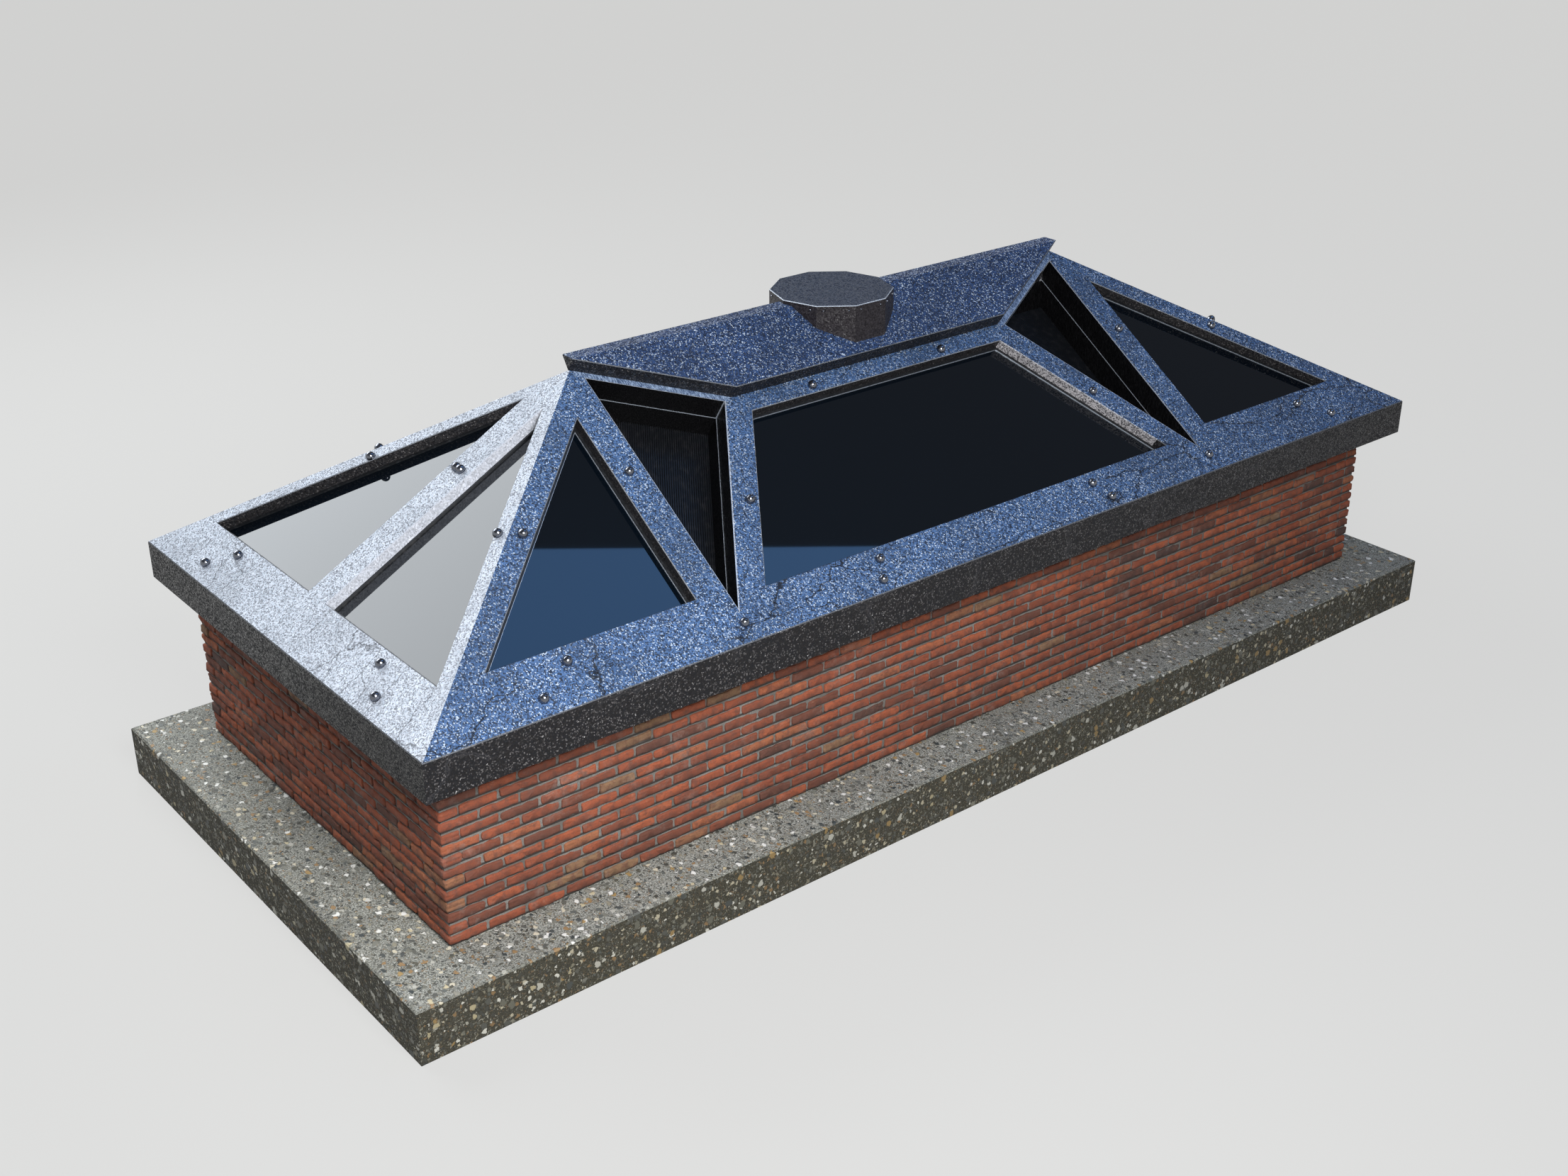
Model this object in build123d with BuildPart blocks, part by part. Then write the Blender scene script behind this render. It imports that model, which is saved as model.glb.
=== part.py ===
"""Hipped roof light on a brick upstand, standing on a thick slab round its light well.

X runs along the ridge, Y from front to back and Z up, in millimetres. The origin is
at the middle of the slab's underside. Each roof slope is drawn on its own plane, with
x along the ridge or eave and distances measured down the slope from the ridge.
"""

from build123d import *
import math
import os

# Slab and brick upstand
slab_thickness = 300
slab_end_margin = 365
slab_side_margin = 325
curb_length = 6910
curb_width = 2650
wall_thickness = 210
course_height = 62.5
course_count = 15

# Outline of the roof
end_overhang = 145
side_overhang = 185
fascia_height = 217
ridge_length = 3580
roof_rise = 994
frame_depth = 145
arris_bevel = 4
slab_bevel = 8

# Members of the two long slopes, measured along and down the slope
eave_rail = 318
hip_band = 122
rafter_centre = 1828
rafter_width = 181
brace_angle = 60
brace_width = 153
head_half_length = 934
head_distance = 538
sill_rail = 264

# Members of the two end slopes
end_eave_rail = 312
end_hip_band = 85
end_rafter_width = 187

# Ridge plates and the ten-sided cowl
plate_thickness = 90
plate_tip = 1800
plate_corner = 1003
plate_depth = 425
ridge_flat_height = 75
cowl_radius = 358
cowl_sides = 10
cowl_height = 98

# Glass, which stands in a groove round each pane
glass_depth = 70
glass_thickness = 28
glass_bearing = 25

# Recessed bays between the rafters and the braces
bay_depth = 288
bay_head_margin = 32
bay_wall = 8
bay_ledge = 4
bay_flange = 30
bay_flange_thickness = 10
bay_divider = 12
floor_sheet = 10
flute_height = 8
flute_pitch = 12.5
flute_crest = 6.5

# Lengths, levels and angles that follow from those
slab_length = curb_length + 2 * slab_end_margin
slab_width = curb_width + 2 * slab_side_margin
eave_length = curb_length + 2 * end_overhang
eave_width = curb_width + 2 * side_overhang
curb_height = course_height * course_count
soffit_z = slab_thickness + curb_height
eave_z = soffit_z + fascia_height
ridge_z = eave_z + roof_rise
half_length = eave_length / 2
half_width = eave_width / 2
ridge_half = ridge_length / 2
hip_run = half_length - ridge_half
side_slope = math.hypot(half_width, roof_rise)
end_slope = math.hypot(hip_run, roof_rise)
side_pitch = math.atan2(roof_rise, half_width)
end_pitch = math.atan2(roof_rise, hip_run)

# Slope planes: local x runs along the eave, and -y runs down the slope
side_plane = Plane(
    origin=(0, 0, ridge_z),
    x_dir=(1, 0, 0),
    z_dir=(0, -math.sin(side_pitch), math.cos(side_pitch)),
)
end_plane = Plane(
    origin=(-ridge_half, 0, ridge_z),
    x_dir=(0, -1, 0),
    z_dir=(-math.sin(end_pitch), 0, math.cos(end_pitch)),
)

# Lines that the members share. Each gives x from the middle, at a distance down the slope
rafter_outer = rafter_centre + rafter_width / 2
rafter_inner = rafter_centre - rafter_width / 2
rail_edge = side_slope - eave_rail
sill_distance = side_slope - sill_rail
end_rail_edge = end_slope - end_eave_rail
brace_lean = 1 / math.tan(math.radians(brace_angle))
brace_span = brace_width * math.hypot(1, brace_lean)
hip_lean = hip_run / side_slope
end_hip_lean = half_width / end_slope
plate_lean = plate_depth / (plate_tip - plate_corner)
reach = eave_length


def brace_inner(distance):
    return head_half_length + (distance - head_distance) * brace_lean


def brace_outer(distance):
    return brace_inner(distance) + brace_span


def hip_band_inner(distance):
    return ridge_half + hip_lean * distance - hip_band * math.hypot(1, hip_lean)


def end_hip_band_inner(distance):
    return end_hip_lean * distance - end_hip_band * math.hypot(1, end_hip_lean)


# Corners of the openings, on the front left quarter where there is a choice
side_pane_head = (
    rafter_outer - ridge_half + hip_band * math.hypot(1, hip_lean)
) / hip_lean
side_pane_corners = [
    (-rafter_outer, -side_pane_head),
    (-rafter_outer, -rail_edge),
    (-hip_band_inner(rail_edge), -rail_edge),
]
main_pane_corners = [
    (-head_half_length, -head_distance),
    (head_half_length, -head_distance),
    (brace_inner(sill_distance), -sill_distance),
    (-brace_inner(sill_distance), -sill_distance),
]
end_rafter_edge = end_rafter_width / 2
end_pane_head = (
    end_rafter_edge + end_hip_band * math.hypot(1, end_hip_lean)
) / end_hip_lean
end_pane_corners = [
    (end_rafter_edge, -end_pane_head),
    (end_rafter_edge, -end_rail_edge),
    (end_hip_band_inner(end_rail_edge), -end_rail_edge),
]
bay_head_shift = bay_head_margin * math.hypot(1, plate_lean)
bay_head_at_rafter = (plate_tip - rafter_inner) * plate_lean + bay_head_shift
bay_head_at_brace = (
    (plate_tip - brace_outer(0)) * plate_lean + bay_head_shift
) / (1 + brace_lean * plate_lean)
bay_foot = head_distance + (rafter_inner - head_half_length - brace_span) / brace_lean
bay_corners = [
    (-rafter_inner, -bay_head_at_rafter),
    (-brace_outer(bay_head_at_brace), -bay_head_at_brace),
    (-rafter_inner, -bay_foot),
]


def polygon_prism(plane, corners, top, bottom, grow=0.0):
    """Upright prism on a slope plane, from one depth under its surface to another."""
    with BuildPart() as prism:
        with BuildSketch(plane.offset(-top)):
            with BuildLine():
                Polyline(*corners, close=True)
            make_face()
            if grow:
                offset(amount=grow, kind=Kind.INTERSECTION)
        extrude(amount=top - bottom)
    return prism.part


def bevelled_cut(plane, corners):
    """Cutter for an opening right through the frame, with a small bevel at its arris."""
    with BuildPart() as cut:
        with BuildSketch(plane):
            with BuildLine():
                Polyline(*corners, close=True)
            make_face()
            offset(amount=arris_bevel, kind=Kind.INTERSECTION)
        extrude(amount=-arris_bevel, taper=45)
        add(polygon_prism(plane, corners, -frame_depth, 2 * frame_depth))
    return cut.part


def plan_wedge(corners):
    """Everything over a plan outline, up to the upright mitre planes of a slope."""
    with BuildPart() as wedge:
        with BuildSketch(Plane.XY):
            with BuildLine():
                Polyline(*corners, close=True)
            make_face()
        extrude(amount=2 * ridge_z)
    return wedge.part


def space_behind(y):
    """The half space behind an upright plane across the roof, as a large box."""
    with BuildPart() as box:
        with Locations((0, y, ridge_z)):
            Box(reach, reach, reach, align=(Align.CENTER, Align.MIN, Align.CENTER))
    return box.part


def slope_member(plane, wedge, region, cutters):
    """The part of a slope inside a region of its plane, less the openings and grooves."""
    with BuildPart() as member:
        add(polygon_prism(plane, region, 0, frame_depth))
        add(wedge, mode=Mode.INTERSECT)
        for cutter in cutters:
            add(cutter, mode=Mode.SUBTRACT)
    return member.part


def eave_member(plane, section, half_run, wedge, cutters):
    """Eave beam of one section, mitred at both ends, less the openings and grooves."""
    with BuildPart() as beam:
        with BuildSketch(plane):
            with BuildLine():
                Polyline(*section, close=True)
            make_face()
        extrude(amount=half_run, both=True)
        add(wedge, mode=Mode.INTERSECT)
        for cutter in cutters:
            add(cutter, mode=Mode.SUBTRACT)
    return beam.part


def on_side(distance, depth):
    """Y and Z of a point on the front slope, from its distance down and its depth."""
    return (
        -distance * math.cos(side_pitch) + depth * math.sin(side_pitch),
        ridge_z - distance * math.sin(side_pitch) - depth * math.cos(side_pitch),
    )


def on_end(distance, depth):
    """X and Z of a point on the left end slope, from its distance down and its depth."""
    return (
        -ridge_half - distance * math.cos(end_pitch) + depth * math.sin(end_pitch),
        ridge_z - distance * math.sin(end_pitch) - depth * math.cos(end_pitch),
    )


def mirrored(corners):
    """The corners of an outline mirrored about the middle of its slope."""
    return [(-x, y) for x, y in corners]


def save(piece, name):
    piece.label = name
    export_step(piece, f"parts/{name}.step")


def save_front_and_back(piece, name):
    save(piece, f"front_{name}")
    save(mirror(piece, about=Plane.XZ), f"back_{name}")


def save_left_and_right(piece, name):
    save(piece, f"left_{name}")
    save(mirror(piece, about=Plane.YZ), f"right_{name}")


def save_four(piece, name):
    right = mirror(piece, about=Plane.YZ)
    save_front_and_back(piece, f"left_{name}")
    save_front_and_back(right, f"right_{name}")


os.makedirs("parts", exist_ok=True)

# Slab of exposed-aggregate concrete, cast round the light well
well_length = curb_length - 2 * wall_thickness
well_width = curb_width - 2 * wall_thickness
with BuildPart() as base_slab:
    with BuildSketch(Plane.XY):
        Rectangle(slab_length, slab_width)
        Rectangle(well_length, well_width, mode=Mode.SUBTRACT)
    extrude(amount=slab_thickness)
    chamfer(base_slab.faces().sort_by(Axis.Z)[-1].outer_wire().edges(), slab_bevel)
save(base_slab.part, "base_slab")

# Brick upstand round the well, bonded at its corners
with BuildPart() as brick_curb:
    with BuildSketch(Plane.XY.offset(slab_thickness)):
        Rectangle(curb_length, curb_width)
        Rectangle(well_length, well_width, mode=Mode.SUBTRACT)
    extrude(amount=curb_height)
save(brick_curb.part, "brick_curb")

# Glass units
glass_underside = glass_depth + glass_thickness
side_pane = polygon_prism(
    side_plane, side_pane_corners, glass_depth, glass_underside, glass_bearing
)
main_pane = polygon_prism(
    side_plane, main_pane_corners, glass_depth, glass_underside, glass_bearing
)
end_pane = polygon_prism(end_plane, end_pane_corners, glass_depth, glass_underside, glass_bearing)
save_four(side_pane, "side_pane")
save_front_and_back(main_pane, "main_pane")
save(end_pane, "left_end_front_pane")
save(mirror(end_pane, about=Plane.XZ), "left_end_back_pane")
save(mirror(end_pane, about=Plane.YZ), "right_end_front_pane")
save(mirror(mirror(end_pane, about=Plane.YZ), about=Plane.XZ), "right_end_back_pane")

# Bay linings: upright walls, a dividing wall at the ridge and a flange under the floor
floor_top = bay_depth + flute_height
floor_underside = floor_top + floor_sheet
lining_underside = floor_underside + bay_flange_thickness
behind_divider = space_behind(-bay_divider)
with BuildPart() as bay_outline:
    add(polygon_prism(side_plane, bay_corners, frame_depth, lining_underside, bay_wall))
    add(space_behind(0), mode=Mode.SUBTRACT)
with BuildPart() as bay_room:
    add(polygon_prism(side_plane, bay_corners, 0, floor_underside, -bay_ledge))
    add(behind_divider, mode=Mode.SUBTRACT)
with BuildPart() as bay_light:
    add(polygon_prism(side_plane, bay_corners, 0, 2 * bay_depth, -bay_flange))
    add(space_behind(-bay_divider - bay_flange), mode=Mode.SUBTRACT)
with BuildPart() as bay_lining:
    add(bay_outline.part)
    add(bay_room.part, mode=Mode.SUBTRACT)
    add(bay_light.part, mode=Mode.SUBTRACT)
save_four(bay_lining.part, "bay_lining")

# Bay floors: fluted sheet, with the flutes parallel to the brace. They end where the top
# of the sheet meets the dividing wall, so every flute stands on the sheet
flute_turn = brace_angle - 90
flute_head = (floor_top * math.sin(side_pitch) + bay_divider) / math.cos(side_pitch)
with BuildPart() as bay_floor:
    with BuildSketch(side_plane.offset(-floor_top)):
        with Locations(Location((bay_corners[1][0], bay_corners[1][1], 0), (0, 0, flute_turn))):
            with Locations((-flute_pitch * 32, 0)):
                with GridLocations(flute_pitch, flute_pitch, 64, 1):
                    Rectangle(flute_crest, 2 * side_slope)
        with Locations((0, -flute_head)):
            Rectangle(
                2 * half_length, 2 * side_slope, align=(Align.CENTER, Align.MIN),
                mode=Mode.SUBTRACT,
            )
    extrude(amount=flute_height)
    add(polygon_prism(side_plane, bay_corners, floor_top, floor_underside, bay_wall))
    add(bay_room.part, mode=Mode.INTERSECT)
save_four(bay_floor.part, "bay_floor")

# Openings through the frame, and everything that is let into it
side_opening = bevelled_cut(side_plane, side_pane_corners)
main_opening = bevelled_cut(side_plane, main_pane_corners)
end_opening = bevelled_cut(end_plane, end_pane_corners)
with BuildPart() as bay_opening:
    add(bevelled_cut(side_plane, bay_corners))
    add(behind_divider, mode=Mode.SUBTRACT)
side_cutters = [side_opening, side_pane, bay_opening.part, bay_outline.part]
side_cutters += [mirror(cutter, about=Plane.YZ) for cutter in side_cutters]
side_cutters += [main_opening, main_pane]
end_cutters = [end_opening, end_pane]
end_cutters += [mirror(cutter, about=Plane.XZ) for cutter in end_cutters]

# Mitred outline of each slope in plan
front_wedge = plan_wedge(
    [(-half_length, -half_width), (half_length, -half_width), (ridge_half, 0), (-ridge_half, 0)]
)
left_wedge = plan_wedge(
    [(-half_length, -half_width), (-ridge_half, 0), (-half_length, half_width)]
)

# Eave beams, solid from the top of the brickwork to the slope
front_section = [
    (arris_bevel - half_width, soffit_z),
    (-half_width, soffit_z + arris_bevel),
    (-half_width, eave_z - arris_bevel),
    on_side(side_slope - arris_bevel, 0),
    on_side(rail_edge, 0),
    on_side(rail_edge, frame_depth),
    (on_side(rail_edge, frame_depth)[0], soffit_z),
]
left_section = [
    (arris_bevel - half_length, soffit_z),
    (-half_length, soffit_z + arris_bevel),
    (-half_length, eave_z - arris_bevel),
    on_end(end_slope - arris_bevel, 0),
    on_end(end_rail_edge, 0),
    on_end(end_rail_edge, frame_depth),
    (on_end(end_rail_edge, frame_depth)[0], soffit_z),
]
front_eave_beam = eave_member(
    Plane.YZ, front_section, half_length, front_wedge, side_cutters
)
left_eave_beam = eave_member(Plane.XZ, left_section, half_width, left_wedge, end_cutters)
save_front_and_back(front_eave_beam, "eave_beam")
save_left_and_right(left_eave_beam, "eave_beam")

# Outline of each member on its slope. The edges of the openings do the trimming, so
# an outline runs loosely through the openings and over the ridge
over_ridge = frame_depth
mid_side_pane = (-rafter_outer - hip_band, -rail_edge)
mid_bay_foot = (-(rafter_inner + brace_outer(rail_edge)) / 2, -rail_edge)
mid_end_pane = (2 * end_rafter_width, -end_rail_edge)
hip_side_region = [
    (-rafter_outer, over_ridge),
    (-rafter_outer, -side_pane_head),
    mid_side_pane,
    (-half_length - over_ridge, -rail_edge),
    (-half_length - over_ridge, over_ridge),
]
hip_end_region = [
    (end_rafter_edge, over_ridge),
    (end_rafter_edge, -end_pane_head),
    mid_end_pane,
    (half_width + over_ridge, -end_rail_edge),
    (half_width + over_ridge, over_ridge),
]
rafter_region = [
    (-rafter_outer, over_ridge),
    (-rafter_outer, -side_pane_head),
    mid_side_pane,
    mid_bay_foot,
    bay_corners[0],
    (-rafter_inner, over_ridge),
]
brace_region = [
    bay_corners[1],
    main_pane_corners[0],
    (-head_half_length, -rail_edge),
    mid_bay_foot,
]
deck_half = [
    (-rafter_inner, over_ridge),
    bay_corners[0],
    (-(rafter_inner + brace_outer(bay_head_at_brace)) / 2, -head_distance),
    bay_corners[1],
    main_pane_corners[0],
]
deck_region = deck_half + [(0, -(head_distance + sill_distance) / 2)] + mirrored(deck_half)[::-1]
end_rafter_half = [
    (end_rafter_edge, over_ridge),
    (end_rafter_edge, -end_pane_head),
    mid_end_pane,
]
end_rafter_region = end_rafter_half + mirrored(end_rafter_half)[::-1]

# Hips: one wing on each slope, joined along the mitre
with BuildPart() as hip:
    add(slope_member(side_plane, front_wedge, hip_side_region, side_cutters))
    add(slope_member(end_plane, left_wedge, hip_end_region, end_cutters))
save_four(hip.part, "hip")

# Rafters, braces and the deck along the ridge
rafter = slope_member(side_plane, front_wedge, rafter_region, side_cutters)
brace = slope_member(side_plane, front_wedge, brace_region, side_cutters)
ridge_deck = slope_member(side_plane, front_wedge, deck_region, side_cutters)
end_rafter = slope_member(end_plane, left_wedge, end_rafter_region, end_cutters)
save_four(rafter, "rafter")
save_four(brace, "brace")
save_front_and_back(ridge_deck, "ridge_deck")
save_left_and_right(end_rafter, "end_rafter")

# Ridge plates, one a slope, meeting under a flat along the ridge
plate_corners = [
    (-plate_tip, 2 * plate_thickness),
    (-plate_tip, 0),
    (-plate_corner, -plate_depth),
    (plate_corner, -plate_depth),
    (plate_tip, 0),
    (plate_tip, 2 * plate_thickness),
]
ridge_flat_z = ridge_z + ridge_flat_height
with BuildPart() as above_flat:
    with Locations((0, 0, ridge_flat_z)):
        Box(reach, reach, reach, align=(Align.CENTER, Align.CENTER, Align.MIN))
with BuildPart() as ridge_plate:
    add(polygon_prism(side_plane, plate_corners, arris_bevel - plate_thickness, 0))
    with BuildSketch(side_plane.offset(plate_thickness - arris_bevel)):
        with BuildLine():
            Polyline(*plate_corners, close=True)
        make_face()
    extrude(amount=arris_bevel, taper=45)
    add(space_behind(0), mode=Mode.SUBTRACT)
    add(above_flat.part, mode=Mode.SUBTRACT)
save_front_and_back(ridge_plate.part, "ridge_plate")

# Cowl: a ten-sided cap scribed to the plates it stands on
cowl_ground = [
    (-2 * cowl_radius, 2 * plate_thickness),
    (2 * cowl_radius, 2 * plate_thickness),
    (2 * cowl_radius, -3 * cowl_radius),
    (-2 * cowl_radius, -3 * cowl_radius),
]
with BuildPart() as under_cowl:
    add(polygon_prism(side_plane, cowl_ground, -plate_thickness, 2 * cowl_radius))
    add(space_behind(0), mode=Mode.SUBTRACT)
    add(above_flat.part, mode=Mode.SUBTRACT)
with BuildPart() as ridge_cowl:
    with BuildSketch(Plane.XY.offset(ridge_z - cowl_radius)):
        RegularPolygon(radius=cowl_radius, side_count=cowl_sides)
    extrude(amount=cowl_radius + cowl_height)
    chamfer(ridge_cowl.faces().sort_by(Axis.Z)[-1].edges(), arris_bevel)
    add(under_cowl.part, mode=Mode.SUBTRACT)
    add(mirror(under_cowl.part, about=Plane.XZ), mode=Mode.SUBTRACT)
save(ridge_cowl.part, "ridge_cowl")
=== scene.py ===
"""A hipped roof light on a brick upstand and a concrete slab, dressed over its CAD frame.

Lengths are in metres. The roof stands square to X, with the ridge along it.
"""

import math
import random

import bmesh
import bpy
from mathutils import Matrix, Vector, noise


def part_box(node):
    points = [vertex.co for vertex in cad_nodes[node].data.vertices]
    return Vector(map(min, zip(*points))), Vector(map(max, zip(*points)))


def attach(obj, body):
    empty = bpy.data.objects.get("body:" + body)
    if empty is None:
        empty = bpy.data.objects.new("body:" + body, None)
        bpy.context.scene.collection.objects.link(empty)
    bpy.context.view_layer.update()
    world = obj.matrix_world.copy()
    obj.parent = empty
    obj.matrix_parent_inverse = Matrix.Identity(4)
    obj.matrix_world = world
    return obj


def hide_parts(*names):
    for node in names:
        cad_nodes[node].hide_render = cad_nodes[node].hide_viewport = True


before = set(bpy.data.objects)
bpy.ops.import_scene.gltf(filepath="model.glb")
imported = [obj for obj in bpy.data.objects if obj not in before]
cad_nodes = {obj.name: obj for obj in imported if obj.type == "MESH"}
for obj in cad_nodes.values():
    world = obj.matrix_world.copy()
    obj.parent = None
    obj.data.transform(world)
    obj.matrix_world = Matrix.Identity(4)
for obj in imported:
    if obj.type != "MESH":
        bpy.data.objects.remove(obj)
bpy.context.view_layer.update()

# Camera. It stands high off the front left corner and looks down on the roof, level,
# through a moderately long lens.
camera_position = (-6.817, -7.981, 5.713)
camera_azimuth = -39.0
camera_elevation = 25.81
camera_roll = -0.08
camera_data = bpy.data.cameras.new("camera")
camera_data.lens = 43.38
camera_data.sensor_width = 36.0
camera_data.clip_end = 400.0
camera = bpy.data.objects.new("camera", camera_data)
camera.matrix_world = (
    Matrix.Translation(camera_position)
    @ Matrix.Rotation(math.radians(camera_azimuth), 4, "Z")
    @ Matrix.Rotation(math.radians(90 - camera_elevation), 4, "X")
    @ Matrix.Rotation(math.radians(camera_roll), 4, "Z")
)
bpy.context.scene.collection.objects.link(camera)
bpy.context.scene.camera = camera

# Slab. One thick casting of concrete whose skin was washed off to bare the stones: white
# and cream flint, ochre and dark pebbles in a grey-brown matrix. The top is painted lighter
# and the sides darker, as painted light and shade.


def add_node(tree, kind, inputs=None, **settings):
    """A node with its settings, and with each input either set or linked from a socket."""
    node = tree.nodes.new(kind)
    for name, value in settings.items():
        setattr(node, name, value)
    for name, value in (inputs or {}).items():
        if isinstance(value, bpy.types.NodeSocket):
            tree.links.new(value, node.inputs[name])
        else:
            node.inputs[name].default_value = value
    return node


def calculate(tree, operation, *values, clamp=False):
    """The result of one Math node."""
    inputs = dict(enumerate(values))
    node = add_node(tree, "ShaderNodeMath", inputs, operation=operation, use_clamp=clamp)
    return node.outputs[0]


def blend_colors(tree, share, first, second, blend_type="MIX"):
    """The result of one colour Mix node. The inputs 6 and 7 are its two colours."""
    inputs = {0: share, 6: first, 7: second}
    node = add_node(tree, "ShaderNodeMix", inputs, data_type="RGBA", blend_type=blend_type)
    return node.outputs[2]


def fade(tree, value, start, end, low=0.0, high=1.0):
    """Value turned smoothly from low at start to high at end."""
    inputs = {"Value": value, "From Min": start, "From Max": end, "To Min": low, "To Max": high}
    node = add_node(tree, "ShaderNodeMapRange", inputs, interpolation_type="SMOOTHSTEP")
    return node.outputs["Result"]


def object_place(tree, stretch=(1, 1, 1)):
    """Object coordinates, stretched to suit a pattern."""
    place = add_node(tree, "ShaderNodeTexCoord").outputs["Object"]
    return add_node(tree, "ShaderNodeMapping", {"Vector": place, "Scale": stretch}).outputs[0]


def noise_share(tree, place, scale, detail, roughness=0.5, distortion=0.0):
    """The value of a Noise Texture, from 0 to 1."""
    inputs = {
        "Vector": place, "Scale": scale, "Detail": detail, "Roughness": roughness,
        "Distortion": distortion,
    }
    return add_node(tree, "ShaderNodeTexNoise", inputs).outputs["Fac"]


def upward_share(tree):
    """How far a face looks up: 1 on top, 0 on an upright face."""
    normal = add_node(tree, "ShaderNodeNewGeometry").outputs["Normal"]
    return add_node(tree, "ShaderNodeSeparateXYZ", {0: normal}).outputs["Z"]


def bump_normal(tree, height, distance, strength):
    """The normal tilted by a pattern's height."""
    inputs = {"Height": height, "Distance": distance, "Strength": strength}
    return add_node(tree, "ShaderNodeBump", inputs).outputs[0]


def new_group(name, inputs, outputs):
    """An empty shader group with its sockets. Returns the tree and its two end nodes."""
    group = bpy.data.node_groups.new(name, "ShaderNodeTree")
    for socket, kind in inputs:
        group.interface.new_socket(socket, in_out="INPUT", socket_type=kind)
    for socket, kind in outputs:
        group.interface.new_socket(socket, in_out="OUTPUT", socket_type=kind)
    return group, group.nodes.new("NodeGroupInput"), group.nodes.new("NodeGroupOutput")


def use_group(tree, group, inputs):
    """The outputs of a group placed in a material."""
    return add_node(tree, "ShaderNodeGroup", inputs, node_tree=group).outputs


def new_material(name, color, roughness, metallic=0.0):
    """A material with its shader. Returns the material, its tree and the shader's inputs."""
    material = bpy.data.materials.new(name)
    material.use_nodes = True
    tree = material.node_tree
    shader = tree.nodes["Principled BSDF"].inputs
    shader["Base Color"].default_value = (*color, 1)
    shader["Roughness"].default_value = roughness
    shader["Metallic"].default_value = metallic
    material.diffuse_color = (*color, 1)
    return material, tree, shader


def dress(nodes, material):
    """Gives CAD nodes a material in place of their plain one."""
    for name in nodes:
        mesh = cad_nodes[name].data
        mesh.materials.clear()
        mesh.materials.append(material)


stone_chips, chips_in, chips_out = new_group(
    "Stone Chips",
    [("Vector", "NodeSocketVector"), ("Scale", "NodeSocketFloat"),
     ("Share", "NodeSocketFloat"), ("Size", "NodeSocketFloat")],
    [("Mask", "NodeSocketFloat"), ("Tone", "NodeSocketFloat")],
)
chip_cells = add_node(
    stone_chips, "ShaderNodeTexVoronoi",
    {"Vector": chips_in.outputs["Vector"], "Scale": chips_in.outputs["Scale"]},
)
chip_random = add_node(
    stone_chips, "ShaderNodeSeparateColor", {"Color": chip_cells.outputs["Color"]}
).outputs
chip_kept = calculate(stone_chips, "LESS_THAN", chip_random["Red"], chips_in.outputs["Share"])
chip_radius = calculate(
    stone_chips, "MULTIPLY", chips_in.outputs["Size"],
    fade(stone_chips, chip_random["Blue"], 0.0, 1.0, 0.45, 1.0),
)
chip_inside = calculate(
    stone_chips, "MULTIPLY", 14.0,
    calculate(stone_chips, "SUBTRACT", chip_radius, chip_cells.outputs["Distance"]), clamp=True,
)
stone_chips.links.new(
    calculate(stone_chips, "MULTIPLY", chip_kept, chip_inside), chips_out.inputs["Mask"]
)
stone_chips.links.new(chip_random["Green"], chips_out.inputs["Tone"])


def color_steps(tree, tone, colors):
    """One of several colours, picked by a tone from 0 to 1."""
    ramp = add_node(tree, "ShaderNodeValToRGB", {"Fac": tone})
    ramp.color_ramp.interpolation = "CONSTANT"
    elements = ramp.color_ramp.elements
    while len(elements) < len(colors):
        elements.new(0.5)
    for index, color in enumerate(colors):
        elements[index].position = index / len(colors)
        elements[index].color = (*color, 1)
    return ramp.outputs["Color"]


aggregate, tree, shader = new_material("exposed_aggregate", (0.12, 0.11, 0.09), 0.85)
place = object_place(tree)
warp = add_node(tree, "ShaderNodeTexNoise", {"Vector": place, "Scale": 48.0, "Detail": 4.0})
stone_stretch = (1, 0.82, 0.92)
warp_reach = 0.034
warped_place = add_node(
    tree, "ShaderNodeVectorMath",
    {0: warp.outputs["Color"], 1: (warp_reach,) * 3, 2: object_place(tree, stone_stretch)},
    operation="MULTIPLY_ADD",
).outputs[0]
facing_up = fade(tree, upward_share(tree), 0.3, 0.9)
matrix_grain = noise_share(tree, place, 120.0, 5.0, 0.75)
matrix_stain = noise_share(tree, place, 2.2, 5.0, 0.65)
# Painted light and shade: the matrix and its grain are painted paler on the top and darker on
# the sides.
matrix_color = blend_colors(tree, facing_up, (0.120, 0.111, 0.078, 1), (0.49, 0.495, 0.445, 1))
matrix_color = blend_colors(
    tree, fade(tree, matrix_grain, 0.40, 0.60), matrix_color,
    blend_colors(tree, facing_up, (0.030, 0.027, 0.018, 1), (0.120, 0.123, 0.103, 1)),
)
matrix_color = blend_colors(
    tree, fade(tree, matrix_stain, 0.4, 0.75, 0.0, 0.35), matrix_color, (0.07, 0.066, 0.06, 1)
)
grit = use_group(
    tree, stone_chips,
    {"Vector": warped_place, "Scale": 108.0, "Share": 0.80, "Size": 0.62},
)
grit_color = color_steps(
    tree, grit["Tone"],
    [(0.33, 0.32, 0.27), (0.07, 0.068, 0.055), (0.24, 0.22, 0.16), (0.46, 0.45, 0.39),
     (0.10, 0.10, 0.085), (0.24, 0.17, 0.10), (0.19, 0.19, 0.165), (0.05, 0.052, 0.048)],
)
pebbles = use_group(
    tree, stone_chips,
    {"Vector": warped_place, "Scale": 44.0, "Share": 0.62, "Size": 0.58},
)
pebble_color = color_steps(
    tree, pebbles["Tone"],
    [(0.88, 0.87, 0.82), (0.13, 0.13, 0.11), (0.66, 0.60, 0.46), (0.070, 0.070, 0.058),
     (0.21, 0.21, 0.175), (0.33, 0.21, 0.10), (0.13, 0.14, 0.128), (0.50, 0.49, 0.43),
     (0.050, 0.060, 0.060), (0.25, 0.245, 0.20), (0.11, 0.105, 0.080), (0.30, 0.28, 0.21)],
)
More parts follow.
